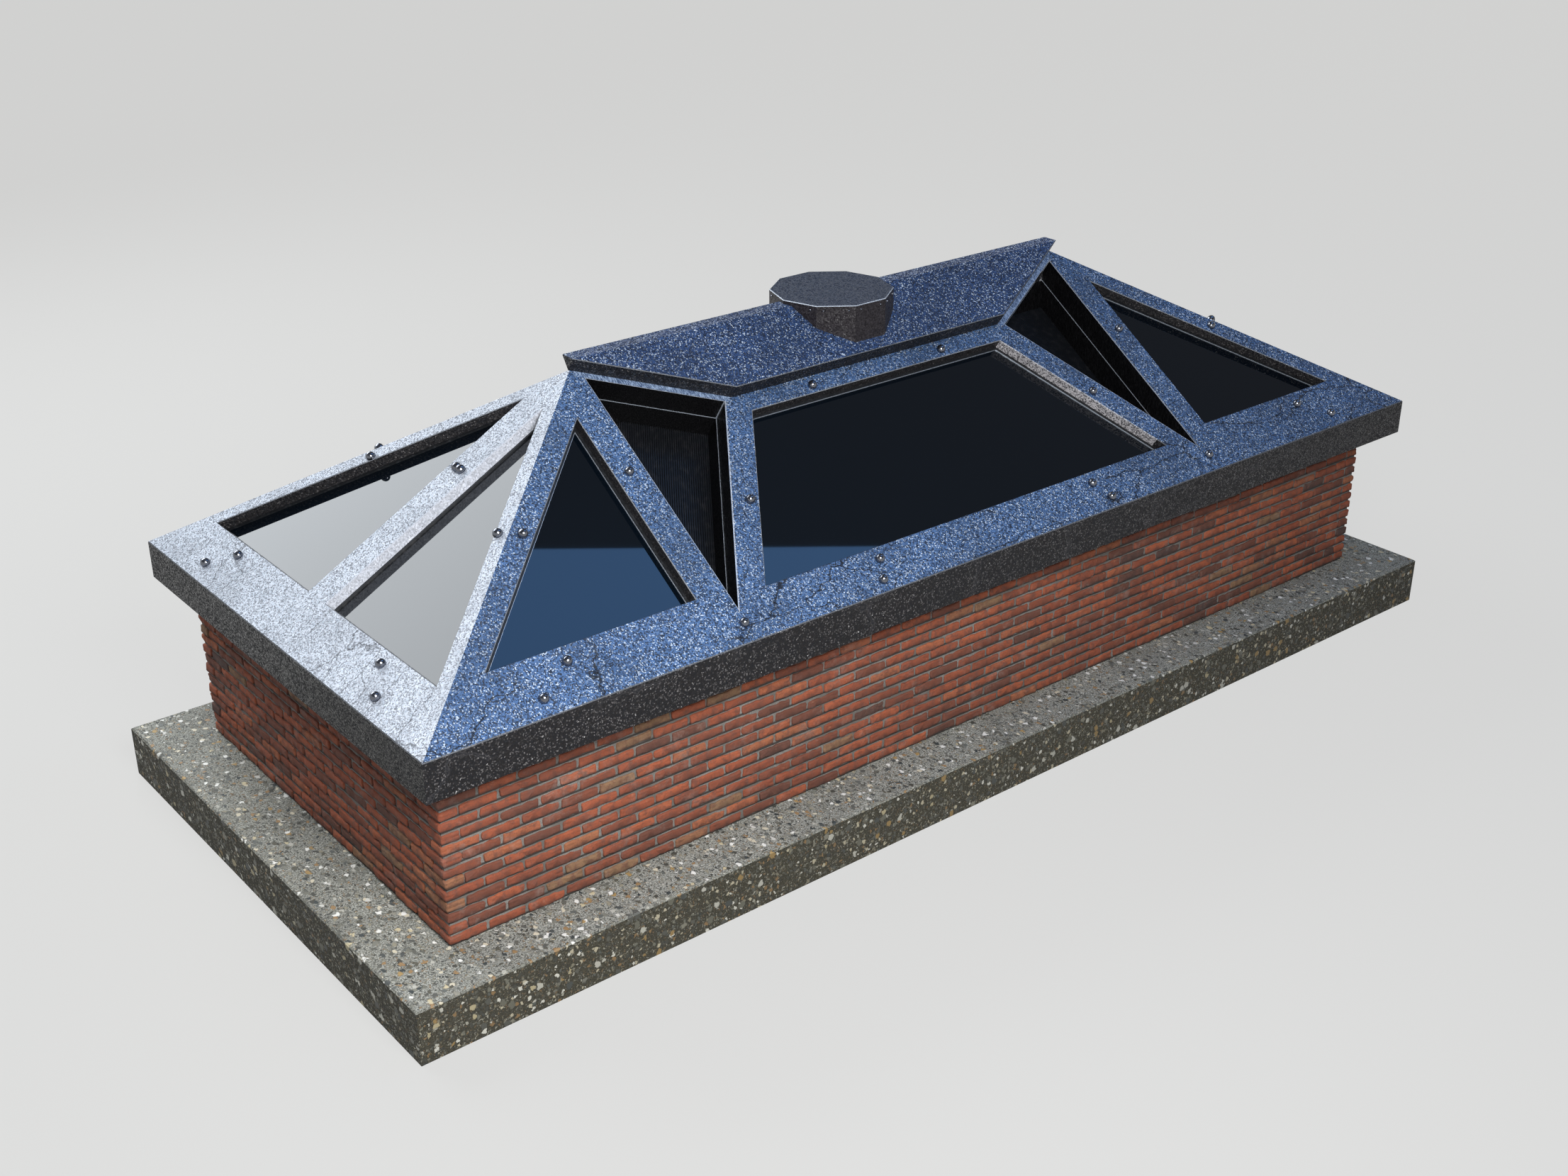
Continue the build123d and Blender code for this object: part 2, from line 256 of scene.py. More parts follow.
flints = use_group(
    tree, stone_chips,
    {"Vector": warped_place, "Scale": 25.0, "Share": 0.25, "Size": 0.56},
)
flint_color = color_steps(
    tree, flints["Tone"],
    [(0.84, 0.83, 0.78), (0.24, 0.24, 0.21), (0.60, 0.52, 0.34), (0.08, 0.088, 0.085),
     (0.18, 0.178, 0.145), (0.66, 0.65, 0.60), (0.40, 0.27, 0.11), (0.11, 0.112, 0.10),
     (0.30, 0.29, 0.24)],
)
slab_color = blend_colors(tree, grit["Mask"], matrix_color, grit_color)
slab_color = blend_colors(tree, pebbles["Mask"], slab_color, pebble_color)
slab_color = blend_colors(tree, flints["Mask"], slab_color, flint_color)
# Painted light on the top and painted shade on the sides, multiplied over all the slab's
# colours.
top_light_side_shade = blend_colors(tree, facing_up, (0.66, 0.65, 0.60, 1), (1.0, 1.0, 1.0, 1))
slab_color = blend_colors(tree, 1.0, slab_color, top_light_side_shade, "MULTIPLY")
tree.links.new(slab_color, shader["Base Color"])
stone_mask = calculate(
    tree, "MAXIMUM", calculate(tree, "MAXIMUM", pebbles["Mask"], flints["Mask"]),
    calculate(tree, "MULTIPLY", grit["Mask"], 0.5),
)
tree.links.new(fade(tree, stone_mask, 0.0, 1.0, 0.9, 0.55), shader["Roughness"])
slab_height = calculate(tree, "MULTIPLY_ADD", matrix_grain, 0.45, stone_mask)
tree.links.new(bump_normal(tree, slab_height, 0.006, 0.8), shader["Normal"])
dress(["base_slab"], aggregate)

# Mortar and lining of the upstand. The wall is bedded in grey lime-cement mortar, raked
# back behind the faces of the bricks, and plastered on the side of the light well. Each bed
# joint is painted near-black just under the bricks above it, as painted shadow.
curb_low, curb_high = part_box("brick_curb")
curb_size = Vector(curb_high) - Vector(curb_low)
wall_thickness = 0.21
mortar_recess = 0.0125
course_height = 0.0625


def add_piece(name, mesh_builder, material, smooth=False):
    """Makes an object of a bmesh, which rides on the part's one body."""
    mesh = bpy.data.meshes.new(name)
    mesh_builder.to_mesh(mesh)
    mesh_builder.free()
    mesh.materials.append(material)
    if smooth:
        mesh.shade_smooth()
    piece = bpy.data.objects.new(name, mesh)
    bpy.context.scene.collection.objects.link(piece)
    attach(piece, "root")
    return piece


def raise_faces(shape, faces, height):
    """Extrudes flat faces straight up, so that they close to a solid."""
    risen = bmesh.ops.extrude_face_region(shape, geom=faces)["geom"]
    risen_corners = [item for item in risen if isinstance(item, bmesh.types.BMVert)]
    bmesh.ops.translate(shape, verts=risen_corners, vec=(0, 0, height))


mortar, tree, shader = new_material("lime_mortar", (0.30, 0.28, 0.26), 0.95)
place = object_place(tree)
mortar_sand = noise_share(tree, place, 210.0, 3.0)
mortar_patch = noise_share(tree, place, 5.0, 4.0)
mortar_color = blend_colors(
    tree, fade(tree, mortar_patch, 0.35, 0.7), (0.15, 0.138, 0.122, 1), (0.27, 0.255, 0.232, 1)
)
mortar_color = blend_colors(
    tree, fade(tree, mortar_sand, 0.45, 0.65, 0.0, 0.6), mortar_color, (0.13, 0.115, 0.10, 1)
)
# Painted shadow: the upper part of each bed joint, just under the brick above, is painted
# near-black.
mortar_level = add_node(tree, "ShaderNodeSeparateXYZ", {0: place}).outputs["Z"]
mortar_level = calculate(tree, "SUBTRACT", mortar_level, curb_low[2])
in_course = calculate(tree, "FRACT", calculate(tree, "DIVIDE", mortar_level, course_height))
mortar_color = blend_colors(
    tree, fade(tree, in_course, 0.26, 0.12, 0.0, 0.94), mortar_color, (0.035, 0.030, 0.026, 1)
)
tree.links.new(mortar_color, shader["Base Color"])
tree.links.new(bump_normal(tree, mortar_sand, 0.004, 0.9), shader["Normal"])

core = bmesh.new()
bmesh.ops.create_grid(core, x_segments=1, y_segments=1, size=0.5)
bmesh.ops.scale(
    core, verts=core.verts,
    vec=(curb_size.x - 2 * mortar_recess, curb_size.y - 2 * mortar_recess, 1),
)
bmesh.ops.translate(core, verts=core.verts, vec=(0, 0, curb_low[2]))
well_face = core.faces[:]
bmesh.ops.inset_region(
    core, faces=well_face, thickness=wall_thickness - mortar_recess, use_boundary=True,
    use_even_offset=True,
)
bmesh.ops.delete(core, geom=well_face, context="FACES")
raise_faces(core, core.faces[:], curb_size.z)
bmesh.ops.recalc_face_normals(core, faces=core.faces)
mortar_core = add_piece("mortar_core", core, mortar)

# Bricks. Hand-moulded red stocks laid in stretcher bond, their arrises worn and their
# faces uneven, burnt from orange through red to brown. Each wall is one piece.
brick_joint = 0.013
brick_face_height = 0.0480
brick_bed = 0.055
corner_bed = 0.100
brick_module = 0.22
header_module = 0.11
course_count = round(curb_size.z / course_height)
worn_arris = 0.009
face_unevenness = (0.0070, 0.0075, 0.0078)
unevenness_scale = 30

brick, tree, shader = new_material("red_stock_brick", (0.40, 0.12, 0.06), 0.88)
place = object_place(tree)
firing = add_node(tree, "ShaderNodeAttribute", attribute_name="firing").outputs["Fac"]
brick_colors = add_node(tree, "ShaderNodeValToRGB", {"Fac": firing})
firing_steps = brick_colors.color_ramp.elements
firing_steps[0].color = (0.075, 0.045, 0.038, 1)
firing_steps[1].color = (0.26, 0.150, 0.080, 1)
for position, color in (
    (0.12, (0.105, 0.047, 0.033)), (0.3, (0.19, 0.060, 0.034)), (0.55, (0.30, 0.078, 0.037)),
    (0.80, (0.39, 0.102, 0.044)), (0.95, (0.36, 0.134, 0.062)),
):
    firing_steps.new(position).color = (*color, 1)
face_patch = add_node(
    tree, "ShaderNodeTexNoise",
    {"Vector": place, "W": calculate(tree, "MULTIPLY", firing, 40.0), "Scale": 22.0,
     "Detail": 5.0, "Roughness": 0.7},
    noise_dimensions="4D",
).outputs["Fac"]
face_grain = noise_share(tree, place, 170.0, 3.0, 0.7)
brick_color = blend_colors(
    tree, fade(tree, face_patch, 0.44, 0.66, 0.0, 0.80), brick_colors.outputs["Color"],
    (0.16, 0.065, 0.045, 1),
)
brick_color = blend_colors(
    tree, fade(tree, face_patch, 0.42, 0.24, 0.0, 0.5), brick_color, (0.50, 0.24, 0.14, 1)
)
brick_color = blend_colors(
    tree, fade(tree, face_grain, 0.5, 0.72, 0.0, 0.55), brick_color, (0.13, 0.055, 0.04, 1)
)
# Painted shade: the lower part of each brick is painted darker, where shade falls under its
# rounded lower arris.
lower_edge_shade = add_node(tree, "ShaderNodeAttribute", attribute_name="lower_edge_shade").outputs["Fac"]
brick_color = blend_colors(
    tree, fade(tree, lower_edge_shade, 0.0, 1.0, 0.0, 0.85), brick_color, (0.040, 0.022, 0.018, 1)
)
lime_bloom = noise_share(tree, place, 7.0, 6.0, 0.75)
brick_color = blend_colors(
    tree, fade(tree, lime_bloom, 0.52, 0.76, 0.0, 0.40), brick_color, (0.30, 0.255, 0.225, 1)
)
tree.links.new(brick_color, shader["Base Color"])
brick_relief = calculate(tree, "MULTIPLY_ADD", face_grain, 0.35, face_patch)
tree.links.new(bump_normal(tree, brick_relief, 0.006, 0.9), shader["Normal"])


def moulded_brick(length, bed, seed):
    """One brick's visible part, faced towards -Y, with worn arrises and an uneven face."""
    shape = bmesh.new()
    bmesh.ops.create_cube(shape, size=1)
    bmesh.ops.scale(shape, verts=shape.verts, vec=(length, bed, brick_face_height))
    bmesh.ops.bevel(
        shape, geom=shape.edges[:], offset=worn_arris, segments=2, profile=0.5,
        affect="EDGES", material=-1,
    )
    cut_spacing = 0.035
    shortest_cut = 0.03
    spans = [(edge, edge.verts[0].co - edge.verts[1].co) for edge in shape.edges]
    bmesh.ops.subdivide_edges(
        shape, edges=[edge for edge, span in spans if abs(span.x) > length * 0.6],
        cuts=max(1, round(length / cut_spacing)), use_grid_fill=True,
    )
    spans = [(edge, edge.verts[0].co - edge.verts[1].co) for edge in shape.edges]
    bmesh.ops.subdivide_edges(
        shape, edges=[edge for edge, span in spans if abs(span.z) > shortest_cut],
        cuts=1, use_grid_fill=True,
    )
    noise_start = Vector((seed * 7.3, seed * 3.1, 0))
    for vertex in shape.verts:
        wander = noise.noise_vector(vertex.co * unevenness_scale + noise_start)
        vertex.co += Vector([share * reach for share, reach in zip(wander, face_unevenness)])
    bmesh.ops.translate(shape, verts=shape.verts, vec=(length / 2, bed / 2, 0))
    mesh = bpy.data.meshes.new(f"brick_shape_{seed}")
    shape.to_mesh(mesh)
    shape.free()
    return mesh


stretcher_length = brick_module - brick_joint
header_length = header_module - brick_joint
noise.seed_set(5)
stretcher_shapes = [moulded_brick(stretcher_length, brick_bed, seed) for seed in range(12)]
header_shapes = [moulded_brick(header_length, brick_bed, seed) for seed in range(20, 24)]
corner_stretchers = [
    moulded_brick(stretcher_length, corner_bed, seed) for seed in range(30, 35)
]
corner_headers = [moulded_brick(header_length, corner_bed, seed) for seed in range(40, 44)]
kiln = random.Random(4)
shortest_closer = header_module * 0.7
# Painted shade on the lower part of each brick: how far below the brick's middle it starts, and
# over what height it deepens.
lower_shade_start = 0.007
lower_shade_depth = 0.014
course_wave = 0.008
set_back_range = (0.0, 0.006)
lift_range = (-0.0030, 0.0030)
sway_range = (-0.014, 0.014)
usual_firing = 0.56
firing_spread = 0.24


def lay_wall(name, start, along, length, first_full):
    """Lays one wall's courses from its left corner, as seen from outside it.

    In every second course the wall runs through to its corners, and in the others it
    stops short of the neighbouring walls' ends. What is left over takes a header.
    """
    wall = bmesh.new()
    firing_layer = wall.verts.layers.float.new("firing")
    lower_shade_layer = wall.verts.layers.float.new("lower_edge_shade")
    turn = Matrix.Rotation(math.atan2(along[1], along[0]), 4, "Z")
    for course in range(course_count):
        runs_through = (course % 2 == 0) == first_full
        left = 0.0 if runs_through else header_module
        right = length if runs_through else length - header_module
        run = right - left + brick_joint
        count = int(run / brick_module)
        has_closer = run - count * brick_module > shortest_closer
        stretch = run / (count * brick_module + has_closer * header_module)
        stretched = Matrix.Diagonal((stretch, 1, 1, 1))
        position = left
        level = curb_low[2] + (course + 0.5) * course_height
        for index in range(count + has_closer):
            is_header = index == count
            at_corner = runs_through and index in (0, count + has_closer - 1)
            module = (header_module if is_header else brick_module) * stretch
            if at_corner:
                shapes = corner_headers if is_header else corner_stretchers
            else:
                shapes = header_shapes if is_header else stretcher_shapes
            first_new = len(wall.verts)
            wall.from_mesh(kiln.choice(shapes))
            wall.verts.ensure_lookup_table()
            fresh = wall.verts[first_new:]
            # The lower part of each brick takes painted shade.
            for vertex in fresh:
                lower_shade_share = (-vertex.co.z - lower_shade_start) / lower_shade_depth
                vertex[lower_shade_layer] = min(1.0, max(0.0, lower_shade_share))
            wave_place = Vector((position * 1.4, course * 0.4, len(name)))
            wave = noise.noise(wave_place) * course_wave
            set_back = kiln.uniform(*set_back_range)
            lift = kiln.uniform(*lift_range) + wave
            sway = Matrix.Rotation(kiln.uniform(*sway_range), 4, "Y")
            place_brick = (
                Matrix.Translation(start) @ turn
                @ Matrix.Translation((position, set_back, level - start[2] + lift))
                @ sway @ stretched
            )
            bmesh.ops.transform(wall, matrix=place_brick, verts=fresh)
            burn = min(1.0, max(0.0, kiln.gauss(usual_firing, firing_spread)))
            for vertex in fresh:
                vertex[firing_layer] = burn
            position += module
    piece = add_piece(name, wall, brick)
    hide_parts("brick_curb")


corner_front_left = (curb_low[0], curb_low[1], curb_low[2])
corner_front_right = (curb_high[0], curb_low[1], curb_low[2])
corner_back_right = (curb_high[0], curb_high[1], curb_low[2])
corner_back_left = (curb_low[0], curb_high[1], curb_low[2])
lay_wall("front_bricks", corner_front_left, (1, 0), curb_size.x, True)
lay_wall("right_bricks", corner_front_right, (0, 1), curb_size.y, False)
lay_wall("back_bricks", corner_back_right, (-1, 0), curb_size.x, True)
lay_wall("left_bricks", corner_back_left, (0, -1), curb_size.y, False)
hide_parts("brick_curb")

# Eave beams and frame members. Timber beams wrapped in a coarse mineral-granule skin,
# steel blue on the slopes, with pale glints painted on its grains as painted highlights. The
# ends are painted silver as painted reflection of bright sky, the fascias and member reveals
# dark as painted shade, and the sides of the braces and end rafters pale as painted light.
# Fine cracks run through the skin of the eaves.
mineral_granules, granules_in, granules_out = new_group(
    "Mineral Granules",
    [("Vector", "NodeSocketVector"), ("Scale", "NodeSocketFloat"), ("Tilt", "NodeSocketFloat")],
    [("Tone", "NodeSocketFloat"), ("Normal", "NodeSocketVector")],
)
granule_cells = add_node(
    mineral_granules, "ShaderNodeTexVoronoi",
    {"Vector": granules_in.outputs["Vector"], "Scale": granules_in.outputs["Scale"]},
)
granule_lean = add_node(
    mineral_granules, "ShaderNodeVectorMath",
    {0: granule_cells.outputs["Color"], 1: (0.5, 0.5, 0.5)}, operation="SUBTRACT",
).outputs[0]
granule_lean = add_node(
    mineral_granules, "ShaderNodeVectorMath",
    {0: granule_lean, "Scale": granules_in.outputs["Tilt"]}, operation="SCALE",
).outputs[0]
granule_normal = add_node(
    mineral_granules, "ShaderNodeVectorMath",
    {0: granule_lean, 1: add_node(mineral_granules, "ShaderNodeNewGeometry").outputs["Normal"]},
    operation="ADD",
).outputs[0]
granule_normal = add_node(
    mineral_granules, "ShaderNodeVectorMath", {0: granule_normal}, operation="NORMALIZE"
).outputs[0]
granule_random = add_node(
    mineral_granules, "ShaderNodeSeparateColor", {"Color": granule_cells.outputs["Color"]}
).outputs
mineral_granules.links.new(granule_random["Green"], granules_out.inputs["Tone"])
mineral_granules.links.new(granule_normal, granules_out.inputs["Normal"])


face_direction, direction_in, direction_out = new_group(
    "Roof Face Direction", [("Place", "NodeSocketVector")],
    [("Side Slope", "NodeSocketFloat"), ("End Slope", "NodeSocketFloat")],
)
place_sign = add_node(
    face_direction, "ShaderNodeVectorMath", {0: direction_in.outputs["Place"]}, operation="SIGN"
).outputs[0]
place_sign = add_node(
    face_direction, "ShaderNodeVectorMath", {0: place_sign, 1: (1, 1, 0), 2: (0, 0, 1)},
    operation="MULTIPLY_ADD",
).outputs[0]
outward = add_node(
    face_direction, "ShaderNodeVectorMath",
    {0: place_sign, 1: add_node(face_direction, "ShaderNodeNewGeometry").outputs["Normal"]},
    operation="MULTIPLY",
).outputs[0]
side_slope_normal = (0, 0.550, 0.835)
end_slope_normal = (0.481, 0, 0.877)
for socket, slope_normal in (
    ("Side Slope", side_slope_normal), ("End Slope", end_slope_normal)
):
    face_direction.links.new(
        add_node(
            face_direction, "ShaderNodeVectorMath", {0: outward, 1: slope_normal},
            operation="DOT_PRODUCT",
        ).outputs["Value"],
        direction_out.inputs[socket],
    )


def granular_coating(
    name, slope_color, end_color, side_color, cracked=False, brushed=False, arris_highlight=0.4,
    smooth_side=False,
):
    """The granule skin: one colour on the long slopes, others on the ends and upright faces."""
    material, tree, shader = new_material(name, slope_color, 0.5)
    place = object_place(tree)
    facing = use_group(tree, face_direction, {"Place": place})
    nearest = calculate(tree, "MAXIMUM", facing["Side Slope"], facing["End Slope"])
    on_flat = fade(tree, upward_share(tree), 0.97, 0.99)
    on_slope = calculate(tree, "MAXIMUM", fade(tree, nearest, 0.90, 0.96), on_flat)
    on_end = fade(tree, facing["End Slope"], 0.90, 0.96)
    on_arris = calculate(
        tree, "MULTIPLY", fade(tree, nearest, 0.61, 0.67), fade(tree, on_slope, 0.3, 0.0)
    )
    granules = use_group(
        tree, mineral_granules, {"Vector": place, "Scale": 165.0, "Tilt": 0.85}
    )
    mottle = noise_share(tree, place, 2.6, 5.0, 0.6)
    top_color = blend_colors(tree, on_end, (*slope_color, 1), (*end_color, 1))
    coat_color = blend_colors(tree, on_slope, (*side_color, 1), top_color)
    if brushed:
        streaks = noise_share(tree, object_place(tree, (26.0, 6.0, 6.0)), 5.0, 5.0, 0.7, 0.5)
        coat_color = blend_colors(
            tree, fade(tree, streaks, 0.50, 0.72), coat_color,
            blend_colors(tree, on_slope, (0.055, 0.056, 0.062, 1), coat_color),
        )
    # Painted shade: the low-toned grains are darkened towards near-black, less on the ends.
    shadow_share = calculate(tree, "MULTIPLY_ADD", on_end, -0.22, 0.88)
    if smooth_side:
        side_calm = fade(tree, on_slope, 0.0, 1.0, 0.25, 1.0)
        shadow_share = calculate(tree, "MULTIPLY", shadow_share, side_calm)
    # Near-black, for the painted shade between the grains and for the cracks.
    shade_and_crack_dark = (0.006, 0.007, 0.010, 1)
    shadow_color = blend_colors(tree, shadow_share, coat_color, shade_and_crack_dark)
    coat_color = blend_colors(
        tree, fade(tree, granules["Tone"], 0.15, 0.62), shadow_color, coat_color
    )
    # Painted glints: single grains are painted pale as painted highlights, blue-white on the
    # slopes and grey on the upright faces.
    glint_pale = blend_colors(tree, 0.80, top_color, (0.70, 0.80, 0.92, 1))
    side_glint = calculate(
        tree, "MULTIPLY", fade(tree, granules["Tone"], 0.80, 0.99, 0.0, 0.19),
        calculate(tree, "SUBTRACT", 1.0, on_slope),
    )
    slope_glint = calculate(
        tree, "MULTIPLY", fade(tree, granules["Tone"], 0.82, 0.97), on_slope
    )
    coat_color = blend_colors(tree, slope_glint, coat_color, glint_pale)
    coat_color = blend_colors(tree, side_glint, coat_color, (0.60, 0.57, 0.57, 1))
    coat_color = blend_colors(
        tree, fade(tree, mottle, 0.40, 0.68, 0.0, 0.35), coat_color, shadow_color
    )
    if cracked:
        crack_warp = add_node(
            tree, "ShaderNodeTexNoise",
            {"Vector": place, "Scale": 6.0, "Detail": 5.0, "Roughness": 0.6},
        ).outputs["Color"]
        crack_place = add_node(
            tree, "ShaderNodeVectorMath",
            {0: crack_warp, 1: (0.5, 0.5, 0.5), 2: object_place(tree, (2.0, 4.4, 4.4))},
            operation="MULTIPLY_ADD",
        ).outputs[0]
        crack = add_node(
            tree, "ShaderNodeTexVoronoi", {"Vector": crack_place, "Scale": 0.75},
            feature="DISTANCE_TO_EDGE",
        ).outputs["Distance"]
        cracked_area = fade(tree, noise_share(tree, place, 1.3, 2.0), 0.43, 0.52)
        crack_mask = calculate(
            tree, "MULTIPLY", fade(tree, crack, 0.014, 0.003, 0.0, 0.90), cracked_area
        )
        end_calm = calculate(tree, "MULTIPLY_ADD", on_end, -0.35, 1.0)
        crack_mask = calculate(tree, "MULTIPLY", crack_mask, end_calm)
        lip_area = calculate(tree, "MULTIPLY", cracked_area, fade(tree, on_slope, 1.0, 0.0))
        crack_lip = calculate(
            tree, "MULTIPLY", fade(tree, crack, 0.030, 0.016, 0.0, 0.07), lip_area
        )
        coat_color = blend_colors(tree, crack_lip, coat_color, (0.34, 0.32, 0.33, 1))
        coat_color = blend_colors(tree, crack_mask, coat_color, shade_and_crack_dark)
    # Painted highlight: a pale line painted along the arrises between the slopes and the
    # upright faces.
    coat_color = blend_colors(
        tree, calculate(tree, "MULTIPLY", on_arris, arris_highlight), coat_color, (0.46, 0.50, 0.56, 1)
    )
    tree.links.new(coat_color, shader["Base Color"])
    tree.links.new(fade(tree, granules["Tone"], 0.3, 1.0, 0.6, 0.25), shader["Roughness"])
    tree.links.new(granules["Normal"], shader["Normal"])
    shader["Specular IOR Level"].default_value = 0.3
    return material


# Painted light and shade by face direction: the pale silver of the ends is painted sky
# reflection, the dark of the fascias and member reveals is painted shade, and the pale of the
# brace reveals and end rafter sides is painted light.
slope_blue = (0.081, 0.161, 0.340)
ends_sky_reflection_silver = (0.64, 0.69, 0.78)
fascia_shade_brown = (0.009, 0.0075, 0.008)
reveal_shade_dark = (0.030, 0.028, 0.029)
brace_reveal_lit_pale = (0.58, 0.56, 0.58)
end_rafter_lit_pale = (0.66, 0.69, 0.76)
eave_coating = granular_coating(
    "eave_coating", slope_blue, ends_sky_reflection_silver, fascia_shade_brown, cracked=True, arris_highlight=0.2
)
member_coating = granular_coating("member_coating", slope_blue, ends_sky_reflection_silver, reveal_shade_dark)
pale_reveal_coating = granular_coating(
    "pale_reveal_coating", slope_blue, ends_sky_reflection_silver, brace_reveal_lit_pale
)
end_rafter_coating = granular_coating(
    "end_rafter_coating", slope_blue, ends_sky_reflection_silver, end_rafter_lit_pale, smooth_side=True
)
quarters = ["front_left", "front_right", "back_left", "back_right"]
dress([f"{side}_eave_beam" for side in ("front", "back", "left", "right")], eave_coating)
dress(
    [f"{quarter}_{part}" for quarter in quarters for part in ("hip", "rafter")]
    + ["front_ridge_deck", "back_ridge_deck"],
    member_coating,
)
dress([f"{quarter}_brace" for quarter in quarters], pale_reveal_coating)
dress(["left_end_rafter", "right_end_rafter"], end_rafter_coating)

# Glass. Sealed units of two panes of float glass, deeply tinted, dropped into a groove
# in the members all round. They mirror the sky, and hardly anything shows behind them.
tinted_glass, tree, shader = new_material("tinted_glass", (0.001, 0.003, 0.006), 0.02)
shader["IOR"].default_value = 1.5
dress([name for name in cad_nodes if name.endswith("_pane")], tinted_glass)

# Glazing beads. A black rubber bead lies on the glass all round each pane, pressed into
# the corner of the reveal and mitred at its corners, with a fine bright lip on its edge that
# stands in for a highlight line, as a painted highlight.
soffit_height = curb_high[2]
eave_half_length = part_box("front_eave_beam")[1][0]
eave_half_width = -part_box("front_eave_beam")[0][1]
fascia_height = 0.217
roof_rise = 0.994
ridge_half = 1.79
hip_band = 0.122
eave_rail = 0.318
sill_rail = 0.264
rafter_outer = 1.9185
head_half_length = 0.934
head_distance = 0.538
brace_slant = math.radians(30)
end_hip_band = 0.085
end_eave_rail = 0.312
end_rafter_half = 0.0935
ridge_height = soffit_height + fascia_height + roof_rise
side_pitch = math.atan2(roof_rise, eave_half_width)
end_pitch = math.atan2(roof_rise, eave_half_length - ridge_half)
side_frame = Matrix.Translation((0, 0, ridge_height)) @ Matrix.Rotation(side_pitch, 4, "X")
end_frame = (
    Matrix.Translation((-ridge_half, 0, ridge_height))
    @ Matrix.Rotation(math.radians(-90), 4, "Z") @ Matrix.Rotation(end_pitch, 4, "X")
)
side_slope = math.hypot(eave_half_width, roof_rise)
end_slope = math.hypot(eave_half_length - ridge_half, roof_rise)

hip_lean = (eave_half_length - ridge_half) / side_slope
hip_span = hip_band * math.hypot(1, hip_lean)
side_pane_head = (rafter_outer - ridge_half + hip_span) / hip_lean
side_rail_edge = side_slope - eave_rail
side_pane_corners = [
    (-rafter_outer, -side_pane_head),
    (-rafter_outer, -side_rail_edge),
    (-(ridge_half + hip_lean * side_rail_edge - hip_span), -side_rail_edge),
]
brace_lean = math.tan(brace_slant)
pane_sill = side_slope - sill_rail
pane_sill_half = head_half_length + (pane_sill - head_distance) * brace_lean
main_pane_corners = [
    (-head_half_length, -head_distance), (head_half_length, -head_distance),
    (pane_sill_half, -pane_sill), (-pane_sill_half, -pane_sill),
]
end_hip_lean = eave_half_width / end_slope
end_hip_span = end_hip_band * math.hypot(1, end_hip_lean)
end_pane_head = (end_rafter_half + end_hip_span) / end_hip_lean
end_rail_edge = end_slope - end_eave_rail
end_pane_corners = [
    (end_rafter_half, -end_pane_head),
    (end_rafter_half, -end_rail_edge),
    (end_hip_lean * end_rail_edge - end_hip_span, -end_rail_edge),
]
glass_depth = 0.070
bead_width = 0.014
bead_height = 0.010


def inset_corners(corners, distance):
    """The corners of a convex outline, moved inwards by one distance."""
    points = [Vector(corner) for corner in corners]
    turn = sum(a.x * b.y - b.x * a.y for a, b in zip(points, points[1:] + points[:1]))
    moved = []
    for index, point in enumerate(points):
        before = (point - points[index - 1]).normalized()
        after = (points[(index + 1) % len(points)] - point).normalized()
        first, second = (
            Vector((-edge.y, edge.x)) * math.copysign(1, turn) for edge in (before, after)
        )
        moved.append(point + (first + second) * distance / (1 + first.dot(second)))
    return moved


def polygon_ring(corners, width, low, high):
    """A flat ring inside an outline, standing from one depth under the slope to another."""
    ring = bmesh.new()
    outline = ring.faces.new([ring.verts.new((x, y, low)) for x, y in corners])
    bmesh.ops.recalc_face_normals(ring, faces=[outline])
    bmesh.ops.inset_region(
        ring, faces=[outline], thickness=width, use_boundary=True, use_even_offset=True
    )
    bmesh.ops.delete(ring, geom=[outline], context="FACES_ONLY")
    raise_faces(ring, ring.faces[:], high - low)
    bmesh.ops.recalc_face_normals(ring, faces=ring.faces)
    return ring


def set_on_slope(shape, slope_frame, mirror_x, mirror_y):
    """Turns a shape drawn on a front or left slope to its place, mirrored where asked."""
    bmesh.ops.transform(shape, matrix=slope_frame, verts=shape.verts)
    flip = Matrix.Diagonal((-1 if mirror_x else 1, -1 if mirror_y else 1, 1, 1))
    bmesh.ops.transform(shape, matrix=flip, verts=shape.verts)
    if mirror_x != mirror_y:
        bmesh.ops.reverse_faces(shape, faces=shape.faces[:])


rubber, tree, shader = new_material("black_rubber", (0.010, 0.011, 0.013), 0.42)
rubber_dust = noise_share(tree, object_place(tree), 60.0, 4.0)
tree.links.new(
    blend_colors(
        tree, fade(tree, rubber_dust, 0.5, 0.75, 0.0, 0.3), (0.010, 0.011, 0.013, 1),
        (0.07, 0.075, 0.085, 1),
    ),
    shader["Base Color"],
)
tree.links.new(fade(tree, rubber_dust, 0.3, 0.7, 0.35, 0.55), shader["Roughness"])

bright_trim, tree, shader = new_material("bright_trim", (0.46, 0.51, 0.58), 0.35, 0.5)
trim_wear = noise_share(tree, object_place(tree), 45.0, 4.0)
tree.links.new(fade(tree, trim_wear, 0.3, 0.7, 0.22, 0.5), shader["Roughness"])

